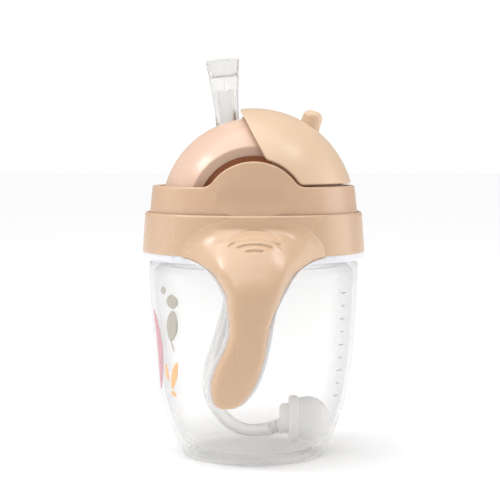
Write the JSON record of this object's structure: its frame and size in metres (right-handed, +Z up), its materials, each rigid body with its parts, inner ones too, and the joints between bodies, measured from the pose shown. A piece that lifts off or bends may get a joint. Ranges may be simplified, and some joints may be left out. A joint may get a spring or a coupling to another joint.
{
  "type": "sippy cup",
  "caption": "Toddler training cup: clear tapered cup, screw lid with a sliding dome cover, folding silicone spout, weighted hose and a ring with two handles.",
  "frame": {"origin": "centre of the ring that the cup stands on, at the surface it rests on", "axes": "+Z up along the cup's axis; +X towards the side the cover slides open to; the handles stand at -Y (front) and +Y (back)"},
  "size_m": [0.0808, 0.1176, 0.144],
  "materials": {
    "clear_cup": "clear, faintly frosted",
    "white_liner": "soft satin white",
    "white_plastic": "translucent milky white",
    "peach_satin": "satin beige peach",
    "peach_light": "satin pinkish peach",
    "clear_silicone": "clear silicone",
    "steel": "turned stainless steel"
  },
  "bodies": {
    "cup": {"cup_body": "clear_cup", "cup_thread": "clear_cup", "handle_liner": "white_liner", "handle_shell": "peach_satin"},
    "seal": {"seal_gasket": "clear_silicone"},
    "lid": {"lid_collar": "peach_satin", "collar_thread": "peach_satin", "lid_dome": "peach_light", "spout_base": "clear_silicone", "straw_connector": "white_plastic", "vent_valve": "clear_silicone"},
    "cover": {"sliding_cover": "peach_satin"},
    "spout": {"spout_tip": "clear_silicone"},
    "straw": {"hose": "clear_silicone", "weight_cap": "white_plastic", "weight_base": "white_plastic", "weight_core": "steel"}
  },
  "joints": [
    {"name": "lid_rise", "type": "slide", "parent": "cup", "child": "seal", "axis": [0, 0, 1], "range_m": [0, 0.0081]},
    {"name": "lid_turn", "type": "hinge", "parent": "seal", "child": "lid", "pos_m": [0, 0, 0.0838], "axis": [0, 0, 1], "range_deg": [0, 720]},
    {"name": "cover_slide", "type": "hinge", "parent": "lid", "child": "cover", "pos_m": [0, 0, 0.0893], "axis": [0, -1, 0], "range_deg": [0, 62.5]},
    {"name": "spout_fold", "type": "hinge", "parent": "lid", "child": "spout", "pos_m": [-0.0089, 0, 0.1153], "axis": [0, -1, 0], "range_deg": [0, 141.5], "deforming": ["spout_tip"]},
    {"name": "hose_swing", "type": "hinge", "parent": "lid", "child": "straw", "pos_m": [-0.0089, 0, 0.0796], "axis": [0, 0, 1], "range_deg": [-12, 12]}
  ],
  "couplings": [
    {"joint": "lid_rise", "follows": "lid_turn", "m_per_rad": 0.00063662},
    {"joint": "spout_fold", "follows": "cover_slide", "ratio": 2.26}
  ]
}
